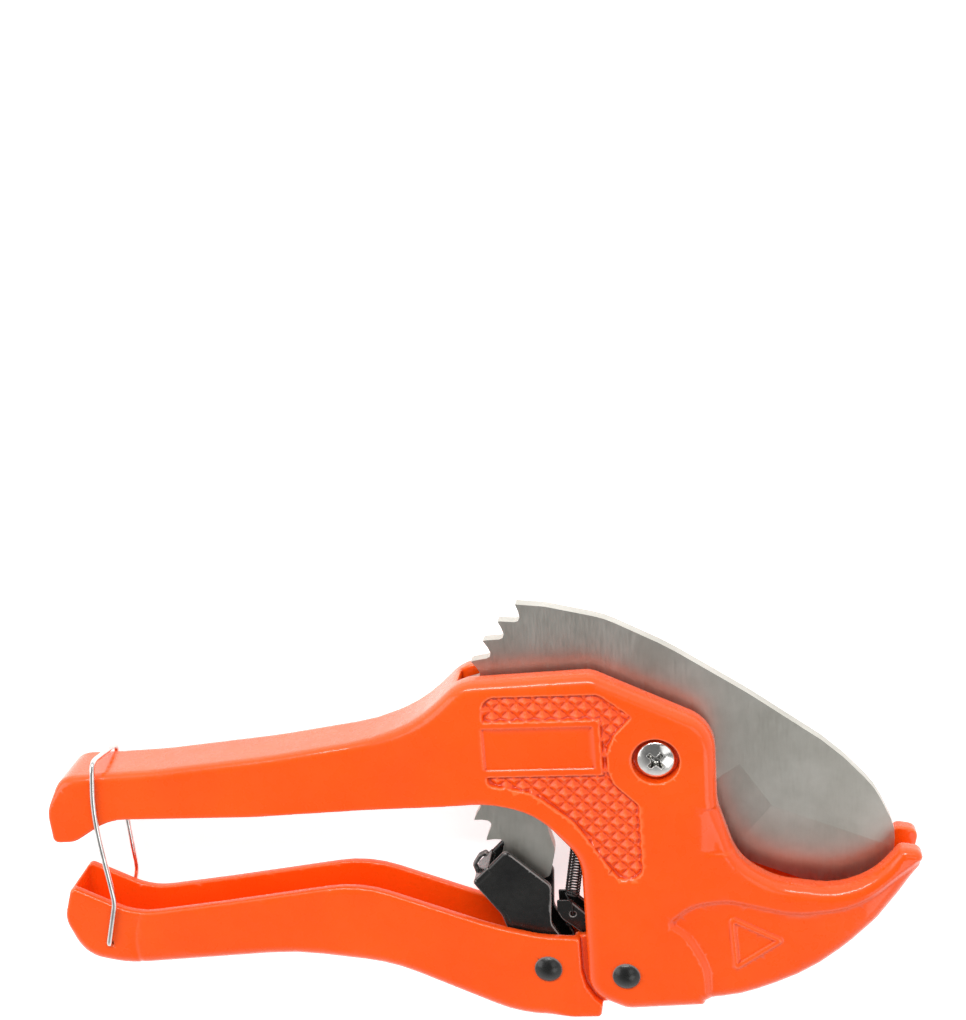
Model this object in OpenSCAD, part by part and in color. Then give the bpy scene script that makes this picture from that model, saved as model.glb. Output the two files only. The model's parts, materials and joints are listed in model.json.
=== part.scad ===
/* [View] */
// Sub-part to build, or "all"

/* [Overall] */
// Half thickness of the cutter head
head_half = 8.6; // [7:0.1:10]
// Half width of the fixed grip channel
grip_half = 7.3; // [6:0.1:9]
// Depth of the relief of the hook jaw below the head face
jaw_relief = 1.0; // [0:0.1:1.5]
// Half gap between the plates where the blade runs
slot_half = 3.3; // [2.5:0.1:4]
// Half gap of the hollow for pawls and lever lugs
hollow_half = 5.3; // [4.5:0.1:6]
// Wall of the cast channels
wall = 2.1; // [1.5:0.1:3]

/* [Blade] */
// Blade thickness
blade_t = 3.0; // [2:0.1:4]
// Radius over the ratchet teeth
tooth_r = 44.3; // [42:0.1:46]
// Depth of a ratchet tooth
tooth_d = 3.1; // [2:0.1:4]
// Number of ratchet teeth
tooth_n = 12; // [8:1:14]
// Angle between two teeth
tooth_pitch = 7.2; // [6:0.1:9]
// Width of the ground facets along the cutting edge
facet_w = 14.9; // [8:0.1:18]

/* [Lever] */
// Half width of the moving lever channel
lever_half = 7.2; // [6:0.1:8]
// Outer half width of the lugs on the hinge pin
lug_half = 5.0; // [4.5:0.1:5.1]

/* [Pins and wire] */
// Diameter of both rivet pins
pin_d = 5.0; // [4:0.1:6]
// Diameter of the rivet heads
pin_head_d = 6.3; // [5.5:0.1:8]
// Diameter of the latch wire
wire_d = 1.2; // [0.8:0.1:1.6]

/* [Hidden] */
$fn = 48;
P1 = [-9.1, -51.5];
P2 = [-26.5, -50.4];
WH = [-127.4, -43.0];
AN = [-16.4, -14.5];
shift = [40.8, 14.6, 10.4];
bore = 0.06;
cheek = 2.95;
orange = [0.96, 0.30, 0.10];
black = [0.05, 0.05, 0.055];
steel = [0.62, 0.62, 0.60];
bright = [0.80, 0.80, 0.78];

// Points of the fillet of radius r at b between a and c
function fillet(a, b, c, r) =
    let(la = norm(a - b), lc = norm(c - b), u = (a - b) / la, v = (c - b) / lc,
        half = acos(max(-1, min(1, u * v))) / 2)
    (r <= 0 || half > 89.5) ? [b] :
    let(t = min(r / tan(half), 0.495 * min(la, lc)), rr = t * tan(half),
        o = b + (u + v) / norm(u + v) * rr / sin(half), p = b + u * t - o, q = b + v * t - o,
        a0 = atan2(p[1], p[0]), d = ((atan2(q[1], q[0]) - a0 + 540) % 360) - 180,
        n = max(1, ceil(abs(d) / 14)))
    [for (i = [0:n]) o + rr * [cos(a0 + d * i / n), sin(a0 + d * i / n)]];

// Outline through corner points [x, y, fillet radius]
function outline(p) = let(n = len(p))
    [for (i = [0:n - 1]) each fillet([p[(i + n - 1) % n][0], p[(i + n - 1) % n][1]],
        [p[i][0], p[i][1]], [p[(i + 1) % n][0], p[(i + 1) % n][1]], p[i][2])];

function polar(r, a) = [r * cos(a), r * sin(a)];

module slab(z0, z1, p) {
    translate([0, 0, z0])
        linear_extrude(z1 - z0)
            polygon(outline(p));
}

module both(z0, z1) {
    translate([0, 0, z0])
        linear_extrude(z1 - z0)
            children();
    translate([0, 0, -z1])
        linear_extrude(z1 - z0)
            children();
}

module rod(a, b, d) {
    v = b - a;
    l = norm(v);
    translate(a)
        rotate([0, acos(v[2] / l), atan2(v[1], v[0])])
            cylinder(h = l, d = d, $fn = 12);
}

module wire_path(p, d) {
    for (i = [0:len(p) - 2])
        rod(p[i], p[i + 1], d);
    for (i = [1:len(p) - 2])
        translate(p[i])
            sphere(d = d * 1.04, $fn = 12);
}

BODY = [[-136.9, -17.2, 1.5], [-137.3, -9.5, 9], [-133.6, -1.3, 5], [-112, -0.4, 60],
    [-85, 2.3, 90], [-62, 5.7, 45], [-51, 10, 30], [-41.3, 18.8, 9], [-12.7, 19.9, 6],
    [12.8, 7.4, 9], [12.6, -11.2, 14], [16.6, -24.8, 22], [24.5, -29.9, 14],
    [37.5, -31.8, 26], [45.6, -28.4, 16], [50.9, -22.2, 1.8], [55.8, -23.1, 2],
    [55.0, -27.0, 3], [46.2, -39.6, 60], [31.5, -52.2, 60], [16.0, -58.1, 40],
    [8.2, -58.9, 0], [7.7, -60.0, 1], [-9.5, -60.9, 6], [-17.7, -57.0, 9],
    [-17.5, -23.2, 12], [-26.0, -12.2, 16], [-36.5, -9.2, 24], [-60, -10.6, 60],
    [-90, -12.0, 60], [-123.5, -12.0, 14], [-132.0, -17.2, 6]];

JAW = [[0.3, -39, 1.5], [6, -34.2, 10], [14, -33.2, 12], [28, -36.8, 20], [41, -35.4, 20],
    [54, -25, 3], [70, -24, 0], [70, -70, 0], [8.4, -70, 0], [8.4, -50, 12], [4.6, -42.4, 8]];

KNURL = [[-36.4, -4.9, 1], [-36.4, 15.7, 3], [-11.2, 15.7, 3], [-4.5, 10.4, 0.5],
    [-8.5, 6.3, 0], [-10.1, 2.6, 0], [-10.3, -1.6, 0], [-9.2, -5.0, 0], [-4.1, -10.2, 1],
    [-4.1, -27.8, 3], [-9.6, -27.8, 2], [-18.6, -13.6, 6], [-27.5, -6.6, 8]];

CAVITY = [[-120, -30, 0], [-134.4, -16, 0], [-134.9, -9.5, 6], [-132.4, -3.5, 4],
    [-112, -2.6, 60], [-85, 0.1, 90], [-61.4, 3.4, 45], [-50, 7.6, 30], [-40.0, 16.2, 8],
    [-13.3, 17.6, 5], [-10.6, 12.0, 3], [-12.5, 0, 3], [-10.0, -16, 6], [-8.5, -38, 6],
    [1.2, -44.5, 8], [1.2, -64, 0], [-25, -64, 0], [-25, -30, 0]];

LEVER = [[-137.6, -37, 9], [-134.9, -28.7, 1.2], [-120.4, -35.9, 16], [-100, -33.4, 60],
    [-67.5, -28.9, 28], [-38, -40.1, 40], [-28, -42.6, 20], [-19.2, -43.2, 0.6],
    [-19.2, -51.5, 0], [-18.4, -55.2, 0], [-16.6, -58.4, 0], [-15.0, -60.0, 0],
    [-15.4, -63.0, 1], [-33, -63.3, 30], [-62, -49.6, 40], [-84, -46.5, 60],
    [-124, -49.3, 24], [-135.0, -46.8, 13]];

LEVER_IN = [[-135.2, -37, 7], [-134.2, -20, 0], [-19.9, -20, 0], [-19.9, -60.9, 0],
    [-33, -61.1, 28], [-62.5, -47.5, 40], [-84, -44.4, 60], [-123.6, -47.1, 22],
    [-132.9, -45.0, 11]];

SPINE = [[43.6, -38.1, 0], [47.6, -32.6, 8], [49.9, -25.5, 10], [50.3, -20, 10],
    [46.2, -10.4, 20], [37.6, -0.8, 30], [20, 12.3, 60], [3.5, 23.4, 40],
    [-9.5, 30.3, 20], [-22, 33.4, 0]];

TAIL = [[-30.0, -32.2, 0], [-25.2, -30.4, 1.5], [-23.6, -24.0, 6], [-26.0, -15.0, 14],
    [-15.0, -9.5, 10], [-2.0, -9.4, 8], [5.2, -12.4, 0.3], [14.3, -26.2, 0]];

PAWL = [[-42.3, -30.1, 0.6], [-34.5, -22.4, 1.0], [-24.8, -31.3, 2], [-25.4, -40.6, 3],
    [-21.3, -47.6, 2.5], [-21.4, -55.2, 5], [-31.8, -55.2, 5], [-33.9, -45.0, 4],
    [-36.0, -38.2, 3]];

HOLD = [[-24.9, -36.8, 0.5], [-22.4, -34.6, 1.2], [-16.5, -40.4, 6], [-12.0, -44.0, 4], [-3.2, -46.6, 5.5],
    [-3.2, -57.4, 5.5], [-15.0, -57.4, 5.5], [-16.4, -46.0, 4], [-23.2, -40.4, 1.5]];

// Ratchet teeth, tip first, with a round-bottomed gullet after each one
TEETH = [for (k = [0:tooth_n - 1]) let(a = 129.6 + tooth_pitch * k)
    each [polar(tooth_r, a), polar(tooth_r - 0.55 * tooth_d, a + 0.9),
        polar(tooth_r - 0.9 * tooth_d, a + 1.9), polar(tooth_r - tooth_d, a + 3.0),
        polar(tooth_r - 0.88 * tooth_d, a + 4.0), polar(tooth_r - 0.12 * tooth_d, a + 6.6)]];

BLADE = concat(outline(SPINE), TEETH,
    [for (a = [216.6:3:226]) polar(tooth_r - 0.3, a)], outline(TAIL));

module face_relief() {
    difference() {
        slab(head_half - 0.5, head_half + 1, KNURL);
        translate([-38.0, -2.8, 0])
            cube([26.6, 12.8, 20]);
    }
    translate([-36.8, -1.3, head_half - 0.35])
        cube([23.9, 9.8, 2]);
    slab(head_half - jaw_relief, head_half + 1, JAW);
    slab(head_half - 0.4, head_half + 1,
        [[8.2, -11.3, 0], [30, -9.6, 0], [30, -22.2, 0], [8.6, -22.2, 0]]);
}

module triangle_rim() {
    translate([0, 0, head_half - jaw_relief - 0.2])
        linear_extrude(0.6)
            difference() {
                polygon(outline([[25.9, -43.5, 0.8], [14.0, -37.3, 0.8], [14.6, -51.0, 0.8]]));
                polygon(outline([[23.7, -43.5, 0.4], [15.0, -38.9, 0.4], [15.5, -49.0, 0.4]]));
            }
}

module blade_slot() {
    intersection() {
        union() {
            cylinder(h = 2 * slot_half, r = tooth_r + 1.3, center = true);
            slab(-slot_half, slot_half, [[0, -20, 0], [22, -36.5, 4], [41, -40.6, 2],
                [44.3, -39.4, 1], [46.4, -35.7, 3], [49.6, -31, 6], [51.6, -26.9, 0.5],
                [60, -28, 0], [60, 30, 0], [0, 30, 0]]);
        }
        translate([-41.8, -70, -20])
            cube([110, 140, 40]);
    }
}

module body_casting() {
    color(orange)
    difference() {
        union() {
            intersection() {
                slab(-head_half, head_half, BODY);
                rotate([90, 0, 0])
                    linear_extrude(200, center = true)
                        polygon([[-150, -grip_half], [-64, -grip_half], [-44, -head_half],
                            [70, -head_half], [70, head_half], [-44, head_half],
                            [-64, grip_half], [-150, grip_half]]);
            }
            triangle_rim();
            mirror([0, 0, 1])
                triangle_rim();
        }
        difference() {
            face_relief();
            triangle_rim();
        }
        mirror([0, 0, 1])
            difference() {
                face_relief();
                triangle_rim();
            }
        blade_slot();
        slab(-hollow_half, hollow_half, CAVITY);
        cylinder(h = 40, d = pin_d + 2 * bore, center = true);
        translate([0, 0, head_half - 3.2])
            cylinder(h = 5, d = 10.2);
        translate([0, 0, -head_half - 1])
            rotate(0)
                cylinder(h = 4.9, d = 9.5, $fn = 6);
        translate([P1[0], P1[1], 0])
            cylinder(h = 40, d = pin_d + 2 * bore, center = true);
        translate([AN[0], AN[1], 0])
            cylinder(h = 6.8, d = 2.0 + 2 * bore);
    }
}

module spring_anchor() {
    color(steel)
        translate([AN[0], AN[1], 2.6])
            cylinder(h = 4.1, d = 2.0);
}

module pivot_screw() {
    color(bright)
    difference() {
        union() {
            intersection() {
                translate([0, 0, head_half - 3.2])
                    cylinder(h = 2.9, d = 8.4);
                translate([0, 0, head_half - 10.3])
                    sphere(r = 10.0, $fn = 64);
            }
            translate([0, 0, -head_half - 0.2])
                cylinder(h = 2 * head_half - 2.8, d = pin_d);
        }
        for (a = [45, 135])
            rotate(a)
                translate([-2.3, -0.45, head_half - 1.9])
                    cube([4.6, 0.9, 3]);
        translate([0, 0, head_half - 2.4])
            cylinder(h = 3, d = 1.7);
    }
}

module pivot_nut() {
    color(black)
    difference() {
        translate([0, 0, -head_half - 0.2])
            cylinder(h = 4.0, d = 9.3, $fn = 6);
        translate([0, 0, -20])
            cylinder(h = 30, d = pin_d + 2 * bore);
    }
}

module pivot_bushing() {
    color(steel)
    difference() {
        cylinder(h = 2 * slot_half - 0.1, d = 8.0, center = true);
        cylinder(h = 20, d = pin_d + 2 * bore, center = true);
    }
}

module thrust_washer() {
    difference() {
        translate([0, 0, blade_t / 2 + 0.32])
            cylinder(h = slot_half - blade_t / 2 - 0.35, d = 15);
        cylinder(h = 20, d = 8.0 + 2 * bore);
    }
}

module blade_washer_top() {
    color(steel)
        thrust_washer();
}

module blade_washer_bottom() {
    color(steel)
        mirror([0, 0, 1])
            thrust_washer();
}

// Wedge that grinds one side down to the edge line from a to b, run past both ends
module grind(a, b, before, after) {
    v = b - a;
    tilt = atan((blade_t / 2 - 0.12) / facet_w);
    translate([a[0], a[1], 0.12])
        rotate(atan2(v[1], v[0]))
            rotate([tilt, 0, 0])
                translate([-before, -6, 0])
                    cube([norm(v) + before + after, facet_w * 1.8, 8]);
}

module facets() {
    grind([14.3, -26.2], [43.6, -38.1], 8, 20);
    grind([5.2, -12.4], [14.3, -26.2], 0, 8);
}

module blade() {
    color(steel)
    difference() {
        translate([0, 0, -blade_t / 2])
            linear_extrude(blade_t)
                polygon(BLADE);
        facets();
        mirror([0, 0, 1])
            facets();
        cylinder(h = 20, d = 8.0 + 2 * bore, center = true);
    }
}

module lever_casting() {
    color(orange)
    difference() {
        union() {
            difference() {
                slab(-lever_half, lever_half, LEVER);
                slab(-lever_half + wall, lever_half - wall, LEVER_IN);
            }
            both(3.2, lug_half)
                union() {
                    polygon(outline([[-20.3, -43.5, 0.3], [-12.0, -43.0, 2], [-9, -51, 0],
                        [-9, -59.9, 0], [-15.6, -60.3, 0], [-20.3, -61.5, 0]]));
                    translate(P1)
                        circle(r = 8.5);
                }
            difference() {
                both(3.2, lever_half)
                    polygon([[-20.3, -43.6], [-19.2, -43.6], [-19.2, -51.5], [-18.4, -55.2],
                        [-16.6, -58.4], [-15.0, -60.0], [-15.4, -61.8], [-20.3, -62]]);
            }
        }
        slab(-3.2, 3.2, [[-60, -20, 0], [20, -20, 0], [20, -61.0, 0], [-33, -61.0, 30],
            [-62, -47.3, 40]]);
        translate([P1[0], P1[1], 0])
            cylinder(h = 40, d = pin_d + 2 * bore, center = true);
        translate([P2[0], P2[1], 0])
            cylinder(h = 40, d = pin_d + 2 * bore, center = true);
        translate([WH[0], WH[1], 0])
            cylinder(h = 40, d = wire_d + 0.16, center = true, $fn = 24);
    }
}

module rivet(top, bottom) {
    intersection() {
        translate([0, 0, top])
            cylinder(h = 1.5, d = pin_head_d);
        translate([0, 0, top + 1.5 - 4.6])
            sphere(r = 4.6);
    }
    difference() {
        translate([0, 0, bottom])
            cylinder(h = top - bottom + 0.1, d = pin_d);
        translate([0, 0, bottom + 0.85])
            difference() {
                cylinder(h = 0.7, d = pin_d + 2);
                cylinder(h = 3, d = 4.0, center = true);
            }
    }
}

module e_clip(z) {
    translate([0, 0, z])
        linear_extrude(0.6)
            difference() {
                circle(d = 8.7);
                circle(d = 4.06);
                rotate(52)
                    translate([0, -1.75])
                        square([6, 3.5]);
                rotate(-68)
                    translate([2.6, -0.8])
                        square([0.9, 1.6]);
                rotate(172)
                    translate([2.6, -0.8])
                        square([0.9, 1.6]);
            }
}

module hinge_pin() {
    color(black)
        translate([P1[0], P1[1], 0])
            rivet(head_half, -10.4);
}

module hinge_pin_clip() {
    color(black)
        translate([P1[0], P1[1], 0])
            e_clip(-9.5);
}

module hinge_washer() {
    color(black)
    translate([P1[0], P1[1], -8.85])
        difference() {
            cylinder(h = 0.2, d = 7.6);
            cylinder(h = 2, d = pin_d + 2 * bore, center = true);
        }
}

module pawl_pin() {
    color(black)
        translate([P2[0], P2[1], 0])
            rivet(lever_half, -9.0);
}

module pawl_pin_clip() {
    color(black)
        translate([P2[0], P2[1], 0])
            e_clip(-8.1);
}

// Forked pawl: two cheeks beside the blade, and a solid root outside the teeth
module holding_pawl() {
    color(black)
    difference() {
        slab(-cheek, cheek, HOLD);
        cylinder(h = blade_t + 0.6, r = tooth_r + 0.45, center = true, $fn = 180);
        for (z = [1.45, -6.45])
            translate([P1[0], P1[1], z])
                cylinder(h = 5, d = 10.0);
        translate([P1[0], P1[1], 0])
            cylinder(h = 20, d = pin_d + 2 * bore, center = true);
        translate([-20.6, -39.2, 1])
            cylinder(h = 5, d = 1.3, $fn = 24);
    }
}

module spacer() {
    translate([P1[0], P1[1], 1.8])
        difference() {
            cylinder(h = 1.35, d = 9.6);
            cylinder(h = 5, d = pin_d + 2 * bore, center = true);
        }
}

module pawl_spacer_top() {
    color(steel)
        spacer();
}

module pawl_spacer_bottom() {
    color(steel)
        mirror([0, 0, 1])
            spacer();
}

module drive_pawl() {
    color(black)
    difference() {
        union() {
            both(3.4, 4.7)
                polygon(outline(PAWL));
            translate([-42.3, -30.1, -4.7])
                rotate(44.6)
                    translate([0.6, -1.3, 0])
                        cube([4.4, 1.3, 9.4]);
            slab(-4.7, 4.7, [[-42.3, -30.1, 0.4], [-41.4, -29.6, 0], [-35.2, -38.0, 2],
                [-33.2, -44.6, 2], [-34.3, -45.0, 0], [-36.4, -38.3, 3]]);
            slab(-1.4, 1.4, [[-42.2, -29.9, 0.3], [-42.9, -27.6, 1.2], [-37.6, -22.9, 0.3],
                [-36.8, -23.9, 0.3], [-41.2, -28.2, 0.5], [-40.6, -29.6, 0]]);
        }
        translate([P2[0], P2[1], 0])
            cylinder(h = 20, d = pin_d + 2 * bore, center = true);
    }
}

module pawl_torsion_spring() {
    color(black)
    translate([P2[0], P2[1], 0]) {
        for (i = [0:5])
            translate([0, 0, -2.25 + 0.9 * i])
                rotate_extrude()
                    translate([3.1, 0])
                        circle(d = 0.8, $fn = 16);
        translate([3.1, 0, -2.25])
            cylinder(h = 4.5, d = 0.5, $fn = 16);
        rod([-3.1, 0, 2.25], [-4.7, 9.4, 2.25], 0.8);
        rod([-3.1, 0, -2.25], [-10.0, -6.6, -2.25], 0.8);
    }
}

module pawl_tension_spring() {
    p0 = [-18.0, -20.4, 3.4];
    p1 = [-20.4, -34.0, 3.4];
    dir = (p1 - p0) / norm(p1 - p0);
    color(black) {
        translate(p0)
            rotate([0, 0, atan2(dir[1], dir[0])])
                rotate([0, 90, 0])
                    cylinder(h = norm(p1 - p0), d = 3.4);
        wire_path([p0, [-17.4, -17.4, 3.4], [-14.9, -15.6, 3.4], [-15.1, -13.2, 3.4],
            [-17.5, -13.4, 3.4]], 0.5);
        wire_path([p1, [-20.6, -37.4, 3.35], [-20.6, -39.2, 3.35], [-20.6, -39.2, 1.9]], 0.5);
    }
}

module wire_bail() {
    z = 8.25;
    leg = [WH, [-124.4, -32.0], [-126.0, -9.0], [-125.0, -0.6]];
    color(bright)
        wire_path([[WH[0], WH[1], 4.6],
            for (q = leg) [q[0], q[1], z],
            [-125.0, 0.1, z - 1.2], [-125.0, 0.1, 1.2 - z],
            for (i = [3:-1:0]) [leg[i][0], leg[i][1], -z],
            [WH[0], WH[1], -4.6]], wire_d);
}

translate(shift) {
    body_casting();
    spring_anchor();
    pivot_screw();
    pivot_nut();
    pivot_bushing();
    blade_washer_top();
    blade_washer_bottom();
    blade();
    lever_casting();
    hinge_pin();
    hinge_pin_clip();
    hinge_washer();
    holding_pawl();
    pawl_spacer_top();
    pawl_spacer_bottom();
    pawl_pin();
    pawl_pin_clip();
    drive_pawl();
    pawl_torsion_spring();
    pawl_tension_spring();
    wire_bail();
}
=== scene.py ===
"""Looks of a ratcheting cutter for plastic pipe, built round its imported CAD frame.

Lengths are in millimetres from the blade's pivot, with +Z towards the screw head, until place() turns
them into the row frame's metres. The castings, pawls, screw and rivets are carved as distance fields,
so that every edge can have the radius that casting, grinding and paint give it.
"""

import json
import math

import bpy
import numpy as np
import openvdb
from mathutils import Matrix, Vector


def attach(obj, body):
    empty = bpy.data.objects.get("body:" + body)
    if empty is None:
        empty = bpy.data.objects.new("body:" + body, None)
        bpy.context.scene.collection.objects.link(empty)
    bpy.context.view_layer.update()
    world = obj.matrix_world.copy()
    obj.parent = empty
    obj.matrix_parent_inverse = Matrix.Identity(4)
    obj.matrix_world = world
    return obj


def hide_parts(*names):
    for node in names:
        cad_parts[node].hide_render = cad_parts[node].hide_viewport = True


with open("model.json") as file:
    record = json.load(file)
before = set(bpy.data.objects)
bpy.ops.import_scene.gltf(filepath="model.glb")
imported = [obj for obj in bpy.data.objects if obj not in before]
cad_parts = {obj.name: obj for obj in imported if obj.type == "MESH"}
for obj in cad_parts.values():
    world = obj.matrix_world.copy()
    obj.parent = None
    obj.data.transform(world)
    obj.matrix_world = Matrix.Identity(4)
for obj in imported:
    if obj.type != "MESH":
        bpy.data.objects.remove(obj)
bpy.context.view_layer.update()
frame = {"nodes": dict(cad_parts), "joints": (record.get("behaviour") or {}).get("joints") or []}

MM = 0.001
PIVOT = np.array(next(j["pos_m"] for j in frame["joints"] if j["name"] == "blade_pivot"))

# Driving dimensions
HEAD_HALF = 8.6
GRIP_HALF = 7.3
LEVER_HALF = 7.2
WALL = 2.1
SLOT_HALF = 3.3
HOLLOW_HALF = 5.3
LUG_GAP = 3.2
LUG_HALF = 5.0
JAW_RELIEF = 1.0
KNURL_PITCH = 2.55
KNURL_DEPTH = 1.0
PIN_HOLE_R = 2.56
PIN_R = 2.5
RIVET_HEAD_R = 3.15
TOOTH_R = 44.3
TAIL_SWEEP_GAP = 1.3
SLOT_END_X = -41.8
WIRE_R = 0.6
WIRE_OUT = 8.25
COIL_WIRE_R = 0.2
TORSION_WIRE_R = 0.4
COUNTERBORE_R = 5.1
COUNTERBORE_DEPTH = 3.2
HEXAGON_ACROSS = 9.5
HEXAGON_DEPTH = 3.9
PAWL_HALF = 4.7
PAWL_INNER_HALF = 3.4
HOLD_HALF = 2.95
HOLD_SLOT_HALF = 1.8
SPRING_LEVEL = 3.4

# Places in plan: x, y
PIVOT_AT = (0, 0)
HINGE = (-9.1, -51.5)
PAWL_PIN = (-26.5, -50.4)
WIRE_HOLE = (-127.4, -43.0)
ANCHOR = (-16.4, -14.5)
SPRING_HOLE = (-20.6, -39.2)
LABEL_PLATE, LABEL_PLATE_HALF = (-24.7, 3.6), (13.3, 6.4)
LABEL_RECESS, LABEL_RECESS_HALF = (-24.85, 3.6), (11.95, 4.9)
PAWL_END, PAWL_END_TURN = (-42.3, -30.1), 44.6

# Outlines: corner x, corner y, fillet radius
BODY = [
    (-136.9, -17.2, 1.5), (-137.3, -9.5, 9), (-133.6, -1.3, 5), (-112, -0.4, 60), (-85, 2.3, 90),
    (-62, 5.7, 45), (-51, 10, 30), (-41.3, 18.8, 9), (-12.7, 19.9, 6), (12.8, 7.4, 9),
    (12.6, -11.2, 14), (16.6, -24.8, 22), (24.5, -29.9, 14), (37.5, -31.8, 26), (45.6, -28.4, 16),
    (50.9, -22.2, 1.8), (55.8, -23.1, 2), (55.0, -27.0, 3), (46.2, -39.6, 60), (31.5, -52.2, 60),
    (16.0, -58.1, 40), (8.2, -58.9, 0), (7.7, -60.0, 1), (-9.5, -60.9, 6), (-17.7, -57.0, 9),
    (-17.5, -23.2, 12), (-26.0, -12.2, 16), (-36.5, -9.2, 24), (-60, -10.6, 60), (-90, -12.0, 60),
    (-123.5, -12.0, 14), (-132.0, -17.2, 6),
]
JAW = [
    (0.3, -39, 1.5), (6, -34.2, 10), (14, -33.2, 12), (28, -36.8, 20), (41, -35.4, 20), (54, -25, 3),
    (70, -24, 0), (70, -70, 0), (8.4, -70, 0), (8.4, -50, 12), (4.6, -42.4, 8),
]
KNURL = [
    (-36.4, -4.9, 1), (-36.4, 15.7, 3), (-11.2, 15.7, 3), (-4.5, 10.4, 0.5), (-8.5, 6.3, 0),
    (-10.1, 2.6, 0), (-10.3, -1.6, 0), (-9.2, -5.0, 0), (-4.1, -10.2, 1), (-4.1, -27.8, 3),
    (-9.6, -27.8, 2), (-18.6, -13.6, 6), (-27.5, -6.6, 8),
]
CAVITY = [
    (-120, -30, 0), (-134.4, -16, 0), (-134.9, -9.5, 6), (-132.4, -3.5, 4), (-112, -2.6, 60),
    (-85, 0.1, 90), (-61.4, 3.4, 45), (-50, 7.6, 30), (-40.0, 16.2, 8), (-13.3, 17.6, 5),
    (-10.6, 12.0, 3), (-12.5, 0, 3), (-10.0, -16, 6), (-8.5, -38, 6), (1.2, -44.5, 8), (1.2, -64, 0),
    (-25, -64, 0), (-25, -30, 0),
]
SLOT = [
    (0, -20, 0), (22, -36.5, 4), (41, -40.6, 2), (44.3, -39.4, 1), (46.4, -35.7, 3), (49.6, -31, 6),
    (51.6, -26.9, 0.5), (60, -28, 0), (60, 30, 0), (0, 30, 0),
]
THROAT_STEP = [(4, -11.8, 0), (30, -9.6, 0), (30, -22.2, 0), (4, -22.2, 0)]
TRIANGLE = [(25.9, -43.5, 0.8), (14.0, -37.3, 0.8), (14.6, -51.0, 0.8)]
LEVER = [
    (-137.6, -37, 9), (-134.9, -28.7, 1.2), (-120.4, -35.9, 16), (-100, -33.4, 60), (-67.5, -28.9, 28),
    (-38, -40.1, 40), (-28, -42.6, 20), (-19.2, -43.2, 0.6), (-19.2, -51.5, 0), (-18.4, -55.2, 0),
    (-16.6, -58.4, 0), (-15.0, -60.0, 0), (-15.4, -63.0, 1), (-33, -63.3, 30), (-62, -49.6, 40),
    (-84, -46.5, 60), (-124, -49.3, 24), (-135.0, -46.8, 13),
]
LEVER_IN = [
    (-135.2, -37, 7), (-134.2, -20, 0), (-19.9, -20, 0), (-19.9, -60.9, 0), (-33, -61.1, 28),
    (-62.5, -47.5, 40), (-84, -44.4, 60), (-123.6, -47.1, 22), (-132.9, -45.0, 11),
]
LEVER_CLEAR = [(-60, -20, 0), (20, -20, 0), (20, -61.0, 0), (-33, -61.0, 30), (-62, -47.3, 40)]
LEVER_LUG = [
    (-20.3, -43.5, 0.3), (-12.0, -43.0, 2), (-9, -51, 0), (-9, -59.9, 0), (-15.6, -60.3, 0),
    (-20.3, -61.5, 0),
]
LEVER_STEP = [
    (-20.3, -43.6, 0), (-19.2, -43.6, 0), (-19.2, -51.5, 0), (-18.4, -55.2, 0), (-16.6, -58.4, 0),
    (-15.0, -60.0, 0), (-15.4, -61.8, 0), (-20.3, -62, 0),
]
PAWL = [
    (-42.3, -30.1, 0.6), (-34.5, -22.4, 1.0), (-24.8, -31.3, 2), (-25.4, -40.6, 3), (-21.3, -47.6, 2.5),
    (-21.4, -55.2, 5), (-31.8, -55.2, 5), (-33.9, -45.0, 4), (-36.0, -38.2, 3),
]
PAWL_WEB = [
    (-42.3, -30.1, 0.4), (-41.4, -29.6, 0), (-35.2, -38.0, 2), (-33.2, -44.6, 2), (-34.3, -45.0, 0),
    (-36.4, -38.3, 3),
]
PAWL_TONGUE = [
    (-42.0, -30.1, 0), (-42.7, -27.8, 1.2), (-41.1, -25.4, 1.2), (-39.4, -24.5, 0.5),
    (-38.7, -25.3, 0.3), (-39.4, -26.0, 0), (-40.1, -25.8, 0.5), (-41.7, -27.9, 0.8), (-41.2, -29.5, 0),
]
HOLD = [
    (-24.9, -36.8, 0.5), (-22.4, -34.6, 1.2), (-16.5, -40.4, 6), (-12.0, -44.0, 4), (-3.2, -46.6, 5.5),
    (-3.2, -57.4, 5.5), (-15.0, -57.4, 5.5), (-16.4, -46.0, 4), (-23.2, -40.4, 1.5),
]


# ---------------------------------------------------------------- outlines and distance fields

def fillet(a, b, c, radius):
    """Points of the fillet of that radius at corner b."""
    to_a, to_c = a - b, c - b
    la, lc = np.linalg.norm(to_a), np.linalg.norm(to_c)
    u, v = to_a / la, to_c / lc
    half = math.acos(max(-1, min(1, u @ v))) / 2
    if radius <= 0 or half > math.radians(89.5):
        return [b]
    back = min(radius / math.tan(half), 0.495 * min(la, lc))
    r = back * math.tan(half)
    centre = b + (u + v) / np.linalg.norm(u + v) * r / math.sin(half)
    p, q = b + u * back - centre, b + v * back - centre
    start = math.atan2(p[1], p[0])
    turn = (math.atan2(q[1], q[0]) - start + 3 * math.pi) % (2 * math.pi) - math.pi
    count = max(1, math.ceil(abs(turn) / math.radians(8)))
    angles = start + turn * np.arange(count + 1) / count
    return [centre + r * np.array([math.cos(t), math.sin(t)]) for t in angles]


def outline(corners):
    """Closed outline through corners (x, y, fillet radius)."""
    at = [np.array(c[:2], float) for c in corners]
    points = []
    for i, corner in enumerate(corners):
        points += fillet(at[i - 1], at[i], at[(i + 1) % len(at)], corner[2])
    return np.array(points)


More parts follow.
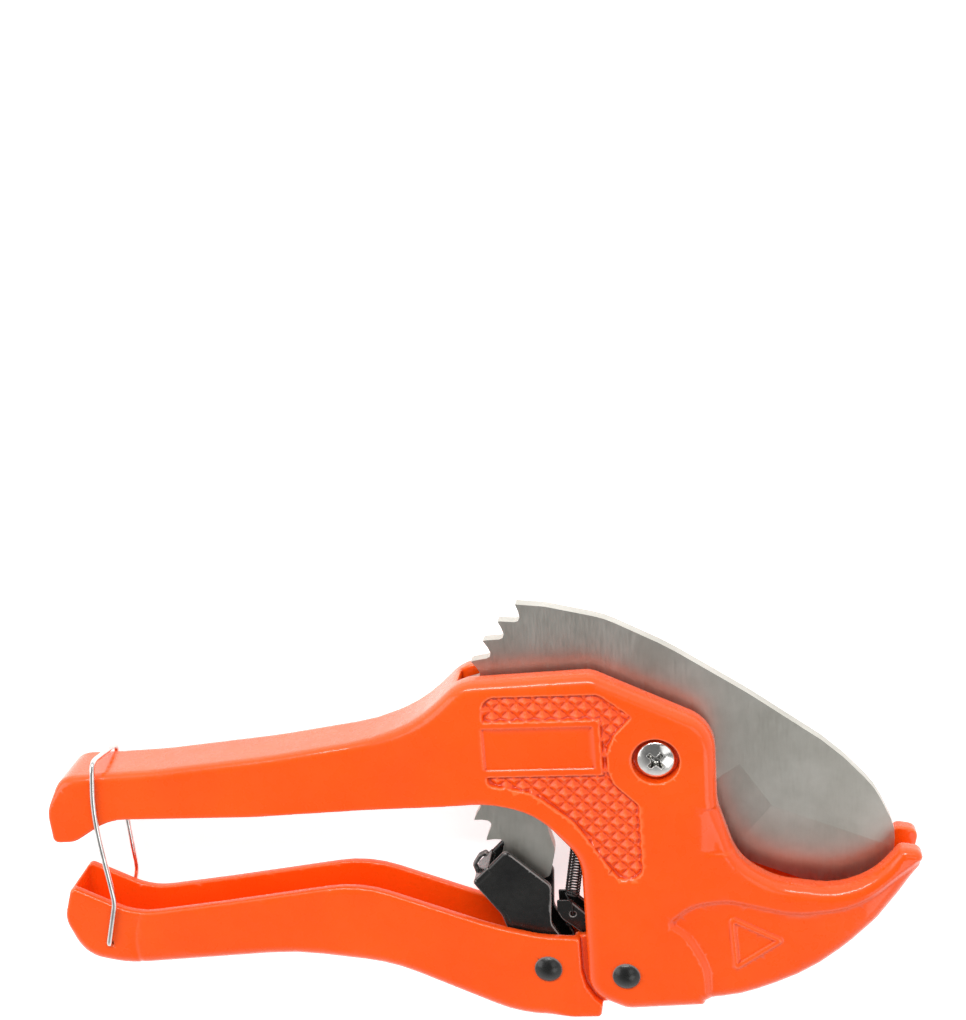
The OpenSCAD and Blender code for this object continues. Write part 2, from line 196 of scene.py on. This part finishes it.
def plan(points, x, y):
    """Distance in plan to a closed outline, negative inside."""
    nearest = np.full((x.shape[0], y.shape[1]), 1e9, np.float32)
    inside = np.zeros(nearest.shape, bool)
    px, py = x[:, :, 0], y[:, :, 0]
    for (ax, ay), (bx, by) in zip(points, np.roll(points, -1, axis=0)):
        ex, ey = bx - ax, by - ay
        if ex * ex + ey * ey < 1e-12:
            continue
        wx, wy = px - ax, py - ay
        t = np.clip((wx * ex + wy * ey) / (ex * ex + ey * ey), 0, 1)
        nearest = np.minimum(nearest, (wx - ex * t) ** 2 + (wy - ey * t) ** 2)
        if ey:
            inside ^= ((ay > py) != (by > py)) & (wx < ex * wy / ey)
    far = np.sqrt(nearest)
    return np.where(inside, -far, far)[:, :, None].astype(np.float32)


def disc(x, y, centre, radius):
    return np.hypot(x - centre[0], y - centre[1]) - radius


def rectangle(x, y, centre, half):
    return np.maximum(np.abs(x - centre[0]) - half[0], np.abs(y - centre[1]) - half[1])


def common(a, b, r):
    """What two solids share, with edges of radius r."""
    u, v = np.maximum(a + r, 0), np.maximum(b + r, 0)
    return np.minimum(np.maximum(a, b), -r) + np.sqrt(u * u + v * v)


def cut(a, b, r):
    """Solid a without solid b."""
    return common(a, -b, r)


def join(a, b, r):
    """Both solids, with a fillet of radius r between them."""
    u, v = np.maximum(r - a, 0), np.maximum(r - b, 0)
    return np.maximum(np.minimum(a, b), r) - np.sqrt(u * u + v * v)


def ease(low, high, value):
    """Smooth step from 0 at low to 1 at high; low may be the larger."""
    t = np.clip((value - low) / (high - low), 0, 1)
    return t * t * (3 - 2 * t)


def sample(field, at):
    """The field's value at points given in grid steps."""
    at = np.clip(at, 0, np.array(field.shape) - 1.001)
    i = at.astype(int)
    f = (at - i).astype(np.float32)
    value = 0
    for dx in (0, 1):
        for dy in (0, 1):
            for dz in (0, 1):
                weight = (f[:, 0] if dx else 1 - f[:, 0]) * (f[:, 1] if dy else 1 - f[:, 1])
                weight = weight * (f[:, 2] if dz else 1 - f[:, 2])
                value = value + weight * field[i[:, 0] + dx, i[:, 1] + dy, i[:, 2] + dz]
    return value


def place(points):
    """Millimetres from the pivot to metres in the row frame."""
    return np.asarray(points, float) * MM + PIVOT


def carve(name, low, high, step, shape, finish_with, body, nodes, detail=0.02):
    """A piece whose surface is where shape(x, y, z) is zero, on a grid of that step."""
    axes = [np.arange(a - 2 * step, b + 2.5 * step, step, dtype=np.float32) for a, b in zip(low, high)]
    x, y, z = axes[0][:, None, None], axes[1][None, :, None], axes[2][None, None, :]
    field = shape(x, y, z).astype(np.float32)
    band = 4 * step
    grid = openvdb.FloatGrid(band)
    grid.copyFromArray(np.clip(field, -band, band))
    grid.gridClass = openvdb.GridClass.LEVEL_SET
    points, triangles, quads = grid.convertToPolygons(0.0, detail)
    normals = np.zeros(points.shape)
    bend = -6 * sample(field, points)
    for axis, push in enumerate(np.eye(3)):
        normals[:, axis] = sample(field, points + 0.7 * push) - sample(field, points - 0.7 * push)
        bend += sample(field, points + 1.5 * push) + sample(field, points - 1.5 * push)
    normals /= np.maximum(np.linalg.norm(normals, axis=1), 1e-9)[:, None]
    corner = np.array([a[0] for a in axes])
    faces = [f[::-1] for f in quads.tolist()] + [f[::-1] for f in triangles.tolist()]
    mesh = bpy.data.meshes.new(name)
    mesh.from_pydata(place(corner + points * step), [], faces)
    mesh.shade_smooth()
    # the bend, which the finishes use to paint highlights on convex edges and shade in hollows
    mesh.attributes.new("edge", "FLOAT", "POINT").data.foreach_set("value", (bend / step).astype(np.float32))
    mesh.normals_split_custom_set_from_vertices(normals.tolist())
    return settle(name, mesh, finish_with, body, nodes)


def settle(name, data, finish_with, body, nodes):
    """Puts new data in the scene, riding on its body in place of its CAD nodes."""
    piece = bpy.data.objects.new(name, data)
    bpy.context.scene.collection.objects.link(piece)
    data.materials.append(finish_with)
    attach(piece, body)
    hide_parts(*nodes)
    return piece


# ---------------------------------------------------------------- castings

def knurl_relief(x, y):
    """Depth of the pyramids round the label plate."""
    u = np.abs(((x + y) / KNURL_PITCH / math.sqrt(2)) % 1 - 0.5)
    v = np.abs(((x - y) / KNURL_PITCH / math.sqrt(2)) % 1 - 0.5)
    pyramid = 0.12 + KNURL_DEPTH * 2 * np.maximum(u, v)
    plate = rectangle(x, y, LABEL_PLATE, LABEL_PLATE_HALF)
    inside = np.maximum(plan(outline(KNURL), x, y), -plate)
    return pyramid * ease(0.05, -0.25, inside)


def face_relief(x, y):
    """Depth of the head's face below its highest level."""
    label = rectangle(x, y, LABEL_RECESS, LABEL_RECESS_HALF)
    rim = np.abs(plan(outline(TRIANGLE), x, y) + 0.55)
    relief = knurl_relief(x, y)
    relief = relief + 0.4 * ease(0.2, -0.3, label)
    relief = relief + JAW_RELIEF * ease(0.5, -1.3, plan(outline(JAW), x, y))
    relief = relief + 0.4 * ease(7.5, 12.5, x) * ease(0.1, -0.5, plan(outline(THROAT_STEP), x, y))
    return relief - 0.4 * ease(0.75, 0.3, rim)


def body_shape(x, y, z):
    outer = plan(outline(BODY), x, y)
    half = GRIP_HALF + (HEAD_HALF - GRIP_HALF) * ease(-66, -42, x) + 0.45 * ease(-120, -131, x)
    half = half - 0.8 * ease(43, 53, x)
    soft = 0.7 + np.maximum(2.1 * ease(-26, -12, x), (1.1 + 1.0 * ease(-70, -40, x)) * ease(-9, -3, y))
    soft = soft - 1.0 * ease(47, 53, x) * ease(-30, -24, y)
    level = np.abs(z)
    solid = common(outer, level - half + face_relief(x, y), soft)
    slot = np.minimum(disc(x, y, PIVOT_AT, TOOTH_R + TAIL_SWEEP_GAP), plan(outline(SLOT), x, y))
    slot = np.maximum(slot, SLOT_END_X - x)
    solid = cut(solid, np.maximum(slot, level - SLOT_HALF), 0.5)
    hollow = common(plan(outline(CAVITY), x, y), level - HOLLOW_HALF, 1.2)
    solid = cut(solid, hollow, 0.4)
    for hole in (PIVOT_AT, HINGE):
        solid = cut(solid, disc(x, y, hole, PIN_HOLE_R) + 0 * z, 0.1)
    counterbore = np.maximum(disc(x, y, PIVOT_AT, COUNTERBORE_R), HEAD_HALF - COUNTERBORE_DEPTH - z)
    solid = cut(solid, counterbore, 0.35)
    sixth = math.pi / 6
    flats = [abs(x * math.cos(a) + y * math.sin(a)) for a in (sixth, 3 * sixth, 5 * sixth)]
    hexagon = np.maximum(np.maximum(flats[0], flats[1]), flats[2]) - HEXAGON_ACROSS / 2 * math.cos(sixth)
    return cut(solid, np.maximum(hexagon, z + HEAD_HALF - HEXAGON_DEPTH), 0.35)


def lever_shape(x, y, z):
    level = np.abs(z)
    middle = np.interp(x, [-137, -120, -84, -67, -38, -20], [-39, -42, -39.5, -39, -50, -53])
    soft = 0.7 + 1.9 * ease(4.5, -5, y - middle) * ease(-21, -28, x)
    fold = x + 121.6 - 0.03 * (y + 44) ** 2
    mark = 0.22 * np.exp(-((fold / 0.6) ** 2)) * ease(-34, -38, y)
    solid = common(plan(outline(LEVER), x, y), level - LEVER_HALF + mark, soft)
    pocket = common(plan(outline(LEVER_IN), x, y), level - LEVER_HALF + WALL, 1.2)
    solid = cut(solid, pocket, 0.4)
    lug = np.minimum(plan(outline(LEVER_LUG), x, y), disc(x, y, HINGE, 8.5))
    solid = join(solid, common(lug, np.maximum(level - LUG_HALF, LUG_GAP - level), 0.3), 0.2)
    step = plan(outline(LEVER_STEP), x, y)
    solid = join(solid, common(step, np.maximum(level - LEVER_HALF, LUG_GAP - level), 0.3), 0.2)
    solid = cut(solid, np.maximum(plan(outline(LEVER_CLEAR), x, y), level - LUG_GAP), 0.3)
    for hole, radius in ((HINGE, PIN_HOLE_R), (PAWL_PIN, PIN_HOLE_R), (WIRE_HOLE, WIRE_R + 0.08)):
        solid = cut(solid, disc(x, y, hole, radius) + 0 * z, 0.12)
    return solid


# ---------------------------------------------------------------- pawls, screw and rivets

def drive_pawl_shape(x, y, z):
    level = np.abs(z)
    turn = math.radians(PAWL_END_TURN)
    right, up = x - PAWL_END[0], y - PAWL_END[1]
    along = right * math.cos(turn) + up * math.sin(turn)
    across = up * math.cos(turn) - right * math.sin(turn)
    bend = 0.3 + 0.6 * ease(-2.2, -0.8, across)
    cheeks = np.maximum(level - PAWL_HALF, PAWL_INNER_HALF - level)
    sides = common(plan(outline(PAWL), x, y), cheeks, bend)
    strip = rectangle(along, across, (2.8, -0.65), (2.2, 0.65))
    solid = join(sides, common(strip, level - PAWL_HALF, 0.3), 0.3)
    solid = join(solid, common(plan(outline(PAWL_WEB), x, y), level - PAWL_HALF, 0.25), 0.3)
    solid = join(solid, common(plan(outline(PAWL_TONGUE), x, y), level - 0.8, 0.45), 0.2)
    return cut(solid, disc(x, y, PAWL_PIN, PIN_HOLE_R) + 0 * z, 0.1)


def holding_pawl_shape(x, y, z):
    level = np.abs(z)
    solid = common(plan(outline(HOLD), x, y), level - HOLD_HALF, 0.3)
    blade_room = np.maximum(disc(x, y, PIVOT_AT, TOOTH_R + 0.45), level - HOLD_SLOT_HALF)
    solid = cut(solid, blade_room, 0.15)
    solid = cut(solid, np.maximum(disc(x, y, HINGE, 5.0), 1.45 - level), 0.1)
    solid = cut(solid, disc(x, y, HINGE, PIN_HOLE_R) + 0 * z, 0.1)
    return cut(solid, np.maximum(disc(x, y, SPRING_HOLE, 0.65), 1 - z), 0.1)


def screw_shape(x, y, z):
    dome = np.sqrt(x * x + y * y + (z + 1.7) ** 2) - 10.0
    under_head = HEAD_HALF - COUNTERBORE_DEPTH - z
    head = common(np.maximum(disc(x, y, PIVOT_AT, 4.2), under_head), dome, 0.35)
    shank = np.maximum(disc(x, y, PIVOT_AT, PIN_R), np.maximum(z - 6, -8.8 - z))
    solid = join(head, shank, 0.1)
    rise = z - 6.1
    recess = np.maximum(disc(x, y, PIVOT_AT, 0.75 + 0.12 * rise), -rise)
    for turn in (math.pi / 4, math.pi * 3 / 4):
        along = np.abs(x * math.cos(turn) + y * math.sin(turn))
        across = np.abs(y * math.cos(turn) - x * math.sin(turn))
        wing = np.maximum(along - 1.15 - 0.5 * rise, across - 0.34 - 0.07 * rise)
        recess = join(recess, np.maximum(wing, -rise), 0.25)
    return cut(solid, recess, 0.12)


def rivet_shape(centre, top, bottom):
    """Distance field of a round-head pin with a clip groove near its lower end."""
    def shape(x, y, z):
        dome = np.sqrt((x - centre[0]) ** 2 + (y - centre[1]) ** 2 + (z - top + 3.1) ** 2) - 4.6
        head = common(np.maximum(disc(x, y, centre, RIVET_HEAD_R), top - z), dome, 0.3)
        end = np.maximum(z - top - 0.2, bottom - z)
        shank = common(disc(x, y, centre, PIN_R), end, 0.3)
        groove = np.maximum(-disc(x, y, centre, 2.0), np.abs(z - bottom - 1.2) - 0.35)
        return join(head, cut(shank, groove, 0.08), 0.05)
    return shape


# ---------------------------------------------------------------- wires

def soft_path(points, reach, count=8):
    """A path through those points with its corners rounded, from that far before to that far after."""
    points = [np.array(p, float) for p in points]
    reaches = np.broadcast_to(reach, len(points) - 2)
    path = [points[0]]
    for a, b, c, far in zip(points, points[1:], points[2:], reaches):
        before = b + (a - b) * min(far, 0.48 * np.linalg.norm(a - b)) / np.linalg.norm(a - b)
        after = b + (c - b) * min(far, 0.48 * np.linalg.norm(c - b)) / np.linalg.norm(c - b)
        for t in np.linspace(0, 1, count):
            path.append(before * (1 - t) ** 2 + b * 2 * t * (1 - t) + after * t * t)
    return path + [points[-1]]


def wire(name, points, radius, finish_with, body, nodes):
    """A round wire along those points."""
    curve = bpy.data.curves.new(name, "CURVE")
    curve.dimensions = "3D"
    curve.bevel_depth = radius * MM
    curve.bevel_resolution = 4
    curve.use_fill_caps = True
    spline = curve.splines.new("POLY")
    spline.points.add(len(points) - 1)
    flat = np.column_stack([place(points), np.ones(len(points))])
    spline.points.foreach_set("co", flat.ravel())
    spline.use_smooth = True
    return settle(name, curve, finish_with, body, nodes)


def tension_spring_path():
    """Open coils between a hook round the anchor and a hook in the holding pawl."""
    level = SPRING_LEVEL
    top, bottom = np.array([-18.0, -20.4, level]), np.array([-20.4, -34.0, level])
    down = (bottom - top) / np.linalg.norm(bottom - top)
    side = np.cross(down, (0, 0, 1))
    turns, per_turn, radius, hook_radius = 20, 18, 1.5, 1.3
    hook = [
        np.array([ANCHOR[0] + hook_radius * math.cos(a), ANCHOR[1] + hook_radius * math.sin(a), level])
        for a in np.radians(np.arange(200, -80, -14))
    ]
    coil = []
    for i in range(turns * per_turn + 1):
        a = 2 * math.pi * i / per_turn
        middle = top + (bottom - top) * i / (turns * per_turn)
        coil.append(middle + radius * (side * math.cos(a) + np.array([0, 0, 1]) * math.sin(a)))
    end = [(-20.6, -36.6, level), (*SPRING_HOLE, level), (*SPRING_HOLE, 1.9)]
    tail = soft_path([coil[-1], *end], 0.7)
    return hook + coil + tail[1:]


def torsion_spring_path():
    """Coils round the pawl's pin, with a leg on each pawl side."""
    at = np.array([*PAWL_PIN, 0])
    radius, half_length, steps = 3.1, 2.25, 100
    coil = [
        at + np.array([radius * math.cos(a), radius * math.sin(a), half_length * (2 * i / steps - 1)])
        for i, a in enumerate(math.pi + np.linspace(0, 10 * math.pi, steps + 1))
    ]
    return [at + (-10.0, -6.6, -half_length)] + coil + [at + (-4.7, 9.4, half_length)]


def bail_path():
    """The latch wire: in at one side of the lever, over the fixed grip, and in at the other side."""
    z = WIRE_OUT
    foot = [(*WIRE_HOLE, 4.6), (*WIRE_HOLE, z), (-124.4, -32.0, z)]
    near = foot + [(-126.3, -10.0, z), (-124.6, 2.9, z)]
    far = [(-125.0, 0.1, 1.2 - z), (-125.0, -0.6, -z), (-125.4, -9.0, -z)]
    far += [(px, py, -pz) for px, py, pz in reversed(foot)]
    return soft_path(near + far, [1.2, 1.6, 9.0, 2.6, 0.8, 0.8, 9.0, 1.6, 1.2], 10)


# ---------------------------------------------------------------- materials

class Finish:
    """A procedural material, with short calls for the nodes that it needs."""

    def __init__(self, name, colour, roughness, metallic=0.0, **sockets):
        self.material = bpy.data.materials.new(name)
        self.material.use_nodes = True
        self.nodes = self.material.node_tree.nodes
        self.links = self.material.node_tree.links
        self.shader = self.nodes["Principled BSDF"]
        self.shader.inputs["Base Color"].default_value = (*colour, 1)
        self.shader.inputs["Roughness"].default_value = roughness
        self.shader.inputs["Metallic"].default_value = metallic
        for socket, value in sockets.items():
            self.shader.inputs[socket.replace("_", " ")].default_value = value
        self.place = self.nodes.new("ShaderNodeTexCoord").outputs["Object"]

    def link(self, source, target):
        self.links.new(source, target)

    def stretched(self, scale, turn=0.0):
        """Object coordinates scaled per axis, so that noise becomes streaks."""
        mapping = self.nodes.new("ShaderNodeMapping")
        mapping.inputs["Scale"].default_value = scale
        mapping.inputs["Rotation"].default_value = (0, 0, math.radians(turn))
        self.link(self.place, mapping.inputs["Vector"])
        return mapping.outputs["Vector"]

    def noise(self, per_mm, detail=3.0, vector=None, rough=0.5):
        node = self.nodes.new("ShaderNodeTexNoise")
        node.inputs["Scale"].default_value = per_mm / MM
        node.inputs["Detail"].default_value = detail
        node.inputs["Roughness"].default_value = rough
        self.link(vector or self.place, node.inputs["Vector"])
        return node.outputs["Fac"]

    def spread(self, value, low, high, out_low, out_high):
        node = self.nodes.new("ShaderNodeMapRange")
        limits = {"From Min": low, "From Max": high, "To Min": out_low, "To Max": out_high}
        for socket, number in limits.items():
            node.inputs[socket].default_value = number
        self.link(value, node.inputs["Value"])
        return node.outputs["Result"]

    def edge(self, low, high, strength):
        """0 to strength as a carved piece's bend goes from low to high (bend is positive on convex edges,
        negative in hollows); used for painted highlights on edges and painted shade in hollows.
        """
        node = self.nodes.new("ShaderNodeAttribute")
        node.attribute_name = "edge"
        return self.spread(node.outputs["Fac"], low, high, 0, strength)

    def blend(self, amount, first, second):
        node = self.nodes.new("ShaderNodeMix")
        node.data_type = "RGBA"
        for socket, value in ((node.inputs[6], first), (node.inputs[7], second)):
            if isinstance(value, tuple):
                socket.default_value = (*value, 1)
            else:
                self.link(value, socket)
        self.link(amount, node.inputs[0])
        return node.outputs[2]

    def colour_from(self, output):
        self.link(output, self.shader.inputs["Base Color"])

    def roughness_from(self, output):
        self.link(output, self.shader.inputs["Roughness"])

    def bump(self, height, depth_mm, strength=1.0):
        node = self.nodes.new("ShaderNodeBump")
        node.inputs["Distance"].default_value = depth_mm * MM
        node.inputs["Strength"].default_value = strength
        self.link(height, node.inputs["Height"])
        earlier = self.shader.inputs["Normal"].links
        if earlier:
            self.link(earlier[0].from_socket, node.inputs["Normal"])
        self.link(node.outputs["Normal"], self.shader.inputs["Normal"])


def enamel():
    f = Finish("orange_enamel", (0.98, 0.095, 0.004), 0.33, Coat_Weight=0.5, Coat_Roughness=0.06,
               Specular_IOR_Level=0.3)
    tone = f.blend(f.spread(f.noise(0.05, 4), 0.3, 0.7, 0, 1), (0.95, 0.085, 0.003), (1.0, 0.101, 0.005))
    # painted shade: the enamel turns dark red in hollows and creases, where the bend is negative
    painted_hollow_shade = f.blend(f.edge(-0.5, -1.6, 0.7), tone, (0.55, 0.025, 0.003))
    # painted highlight: the enamel turns pale orange on sharp convex edges
    f.colour_from(f.blend(f.edge(0.7, 1.6, 0.4), painted_hollow_shade, (1.0, 0.24, 0.07)))
    f.roughness_from(f.spread(f.noise(0.35, 5), 0.3, 0.7, 0.22, 0.34))
    f.bump(f.noise(0.9, 2), 0.02)
    f.bump(f.noise(0.12, 2), 0.10)
    return f.material


def black_oxide():
    f = Finish("black_oxide", (0.01, 0.01, 0.01), 0.3, Coat_Weight=0.1, Coat_Roughness=0.12)
    tone = f.blend(f.spread(f.noise(0.12, 4), 0.35, 0.7, 0, 1), (0.006, 0.006, 0.006), (0.014, 0.014, 0.013))
    # painted highlight: the black parts turn grey on their convex edges
    f.colour_from(f.blend(f.edge(0.45, 1.1, 0.75), tone, (0.30, 0.29, 0.28)))
    f.roughness_from(f.spread(f.noise(0.8, 4), 0.3, 0.7, 0.20, 0.34))
    f.bump(f.noise(1.6, 2), 0.006)
    return f.material


def blade_steel():
    f = Finish("ground_blade_steel", (0.60, 0.59, 0.54), 0.35, 1.0)
    grain = f.noise(1.0, 4, f.stretched((2.2, 0.25, 1), -38), 0.6)
    cloud = f.noise(0.07, 6, None, 0.62)
    tone = f.blend(f.spread(cloud, 0.30, 0.70, 0, 1), (0.46, 0.45, 0.40), (0.62, 0.61, 0.56))
    f.colour_from(f.blend(f.spread(grain, 0.35, 0.8, 0, 0.2), tone, (0.70, 0.69, 0.65)))
    f.roughness_from(f.spread(grain, 0.25, 0.75, 0.36, 0.48))
    f.bump(grain, 0.004)
    f.bump(f.noise(0.8, 4), 0.006)
    return f.material


def plain_steel(name, colour, rough_low, rough_high, depth):
    f = Finish(name, colour, rough_low, 1.0)
    dark = tuple(0.78 * c for c in colour)
    tone = f.blend(f.spread(f.noise(0.5, 5), 0.35, 0.65, 0, 1), dark, colour)
    # painted shade: the steel turns near black in hollows such as the screw's cross recess
    f.colour_from(f.blend(f.edge(-0.15, -0.9, 0.85), tone, (0.03, 0.028, 0.025)))
    f.roughness_from(f.spread(f.noise(1.5, 4), 0.3, 0.7, rough_low, rough_high))
    f.bump(f.noise(3.0, 2), depth)
    return f.material


def white_floor():
    f = Finish("white_floor", (0.78, 0.78, 0.78), 0.8)
    cloud = f.spread(f.noise(0.004, 2), 0.3, 0.7, 0, 1)
    f.colour_from(f.blend(cloud, (0.77, 0.77, 0.77), (0.79, 0.79, 0.79)))
    f.shader.inputs["Emission Color"].default_value = (1, 1, 1, 1)
    f.shader.inputs["Emission Strength"].default_value = 0.7
    return f.material


# ---------------------------------------------------------------- pieces

def dress(node, finish_with, bevel=0.0):
    """A carried-over CAD node: its edges broken a little, and its finish."""
    piece = frame["nodes"][node]
    piece.data.materials.clear()
    piece.data.materials.append(finish_with)
    if bevel:
        edge = piece.modifiers.new("broken_edges", "BEVEL")
        edge.width = bevel * MM
        edge.segments = 2
        edge.limit_method = "ANGLE"
        edge.angle_limit = math.radians(35)
        edge.use_clamp_overlap = False
        edge.harden_normals = True


ENAMEL, BLACK, BLADE = enamel(), black_oxide(), blade_steel()
CHROME = plain_steel("bright_wire", (0.80, 0.79, 0.77), 0.12, 0.22, 0.002)
BRIGHT = plain_steel("bright_screw", (0.84, 0.83, 0.80), 0.10, 0.20, 0.004)
BARE = plain_steel("turned_steel", (0.58, 0.57, 0.55), 0.30, 0.48, 0.006)

carve("casting_with_fixed_grip", (-137.4, -61, -8.7), (55.8, 20, 8.7), 0.3, body_shape,
      ENAMEL, "frame", ["body_casting"])
carve("casting_of_lever", (-137.5, -63.4, -7.3), (-0.5, -28.6, 7.3), 0.28, lever_shape,
      ENAMEL, "lever", ["lever_casting"])
carve("forked_drive_pawl", (-43, -55.3, -4.8), (-21.2, -22.3, 4.8), 0.16, drive_pawl_shape,
      BLACK, "driver", ["drive_pawl"])
carve("holding_pawl_plate", (-23.7, -57.5, -3), (-3.1, -36.5, 3), 0.15, holding_pawl_shape,
      BLACK, "holder", ["holding_pawl"])
carve("cross_recess_screw", (-4.3, -4.3, -8.9), (4.3, 4.3, 8.4), 0.1, screw_shape,
      BRIGHT, "frame", ["pivot_screw"])
for name, centre, top, bottom, body, node in (
    ("hinge_rivet", HINGE, HEAD_HALF, -10.4, "frame", "hinge_pin"),
    ("pawl_rivet", PAWL_PIN, LEVER_HALF, -9.0, "lever", "pawl_pin"),
):
    low = (centre[0] - 3.2, centre[1] - 3.2, bottom - 0.1)
    high = (centre[0] + 3.2, centre[1] + 3.2, top + 1.6)
    carve(name, low, high, 0.12, rivet_shape(centre, top, bottom), BLACK, body, [node])

wire("coiled_tension_spring", tension_spring_path(), COIL_WIRE_R, BLACK, "frame",
     ["pawl_tension_spring"])
wire("coiled_torsion_spring", torsion_spring_path(), TORSION_WIRE_R, BLACK, "lever",
     ["pawl_torsion_spring"])
wire("latch_wire", bail_path(), WIRE_R, CHROME, "latch", ["wire_bail"])

dress("blade", BLADE, 0.1)
dress("pivot_nut", BLACK, 0.25)
for node in ("hinge_pin_clip", "pawl_pin_clip", "hinge_washer"):
    dress(node, BLACK, 0.06)
for node in ("spring_anchor", "pivot_bushing", "blade_washer_top", "blade_washer_bottom",
             "pawl_spacer_top", "pawl_spacer_bottom"):
    dress(node, BARE, 0.08)


# ---------------------------------------------------------------- floor, light and camera

FLOOR_HALF_M = 3.0
floor_mesh = bpy.data.meshes.new("floor")
corners = [(sx * FLOOR_HALF_M, sy * FLOOR_HALF_M, 0) for sx, sy in ((-1, -1), (1, -1), (1, 1), (-1, 1))]
floor_mesh.from_pydata(corners, [], [(0, 1, 2, 3)])
floor = bpy.data.objects.new("floor", floor_mesh)
floor_mesh.materials.append(white_floor())
bpy.context.scene.collection.objects.link(floor)


LAMP_TARGET = (-40.0, -20.0, 0.0)


def softbox(name, at, width, height, power):
    """A lamp that looks at the tool's middle. Place and size in millimetres."""
    lamp = bpy.data.lights.new(name, "AREA")
    lamp.shape = "RECTANGLE"
    lamp.size, lamp.size_y = width * MM, height * MM
    lamp.energy = power
    box = bpy.data.objects.new(name, lamp)
    box.location = place(at)
    aim = place(LAMP_TARGET) - place(at)
    box.rotation_euler = Vector(aim).to_track_quat("-Z", "Y").to_euler()
    bpy.context.scene.collection.objects.link(box)


world = bpy.data.worlds.new("pale_room")
world.use_nodes = True
bpy.context.scene.world = world
links, nodes = world.node_tree.links, world.node_tree.nodes
direction = nodes.new("ShaderNodeTexCoord").outputs["Generated"]
split = nodes.new("ShaderNodeSeparateXYZ")
shade = nodes.new("ShaderNodeMapRange")
shade.interpolation_type = "SMOOTHSTEP"
for socket, value in (("From Min", 0.35), ("From Max", 0.98), ("To Min", 1.0), ("To Max", 0.17)):
    shade.inputs[socket].default_value = value
links.new(direction, split.inputs["Vector"])
links.new(split.outputs["Z"], shade.inputs["Value"])
links.new(shade.outputs["Result"], nodes["Background"].inputs["Color"])
softbox("key", (-60, 420, 420), 520, 75, 2.1)
softbox("fill", (260, 60, 560), 260, 260, 0.25)
softbox("rim", (-420, 40, 300), 300, 300, 0.5)
softbox("blade_sheen", (190, -230, 380), 200, 200, 0.2)

bpy.context.scene.view_settings.view_transform = "Standard"

CAMERA_AT = (17.0, 158.4, 346.7)
CAMERA_TURN_DEG = (-17.07, 6.90, -4.68)
CAMERA_LENS = 61.19

camera_data = bpy.data.cameras.new("camera")
camera_data.lens = CAMERA_LENS
camera_data.sensor_width = 36
camera = bpy.data.objects.new("camera", camera_data)
camera.location = place(CAMERA_AT)
camera.rotation_euler = [math.radians(a) for a in CAMERA_TURN_DEG]
bpy.context.scene.collection.objects.link(camera)
bpy.context.scene.camera = camera
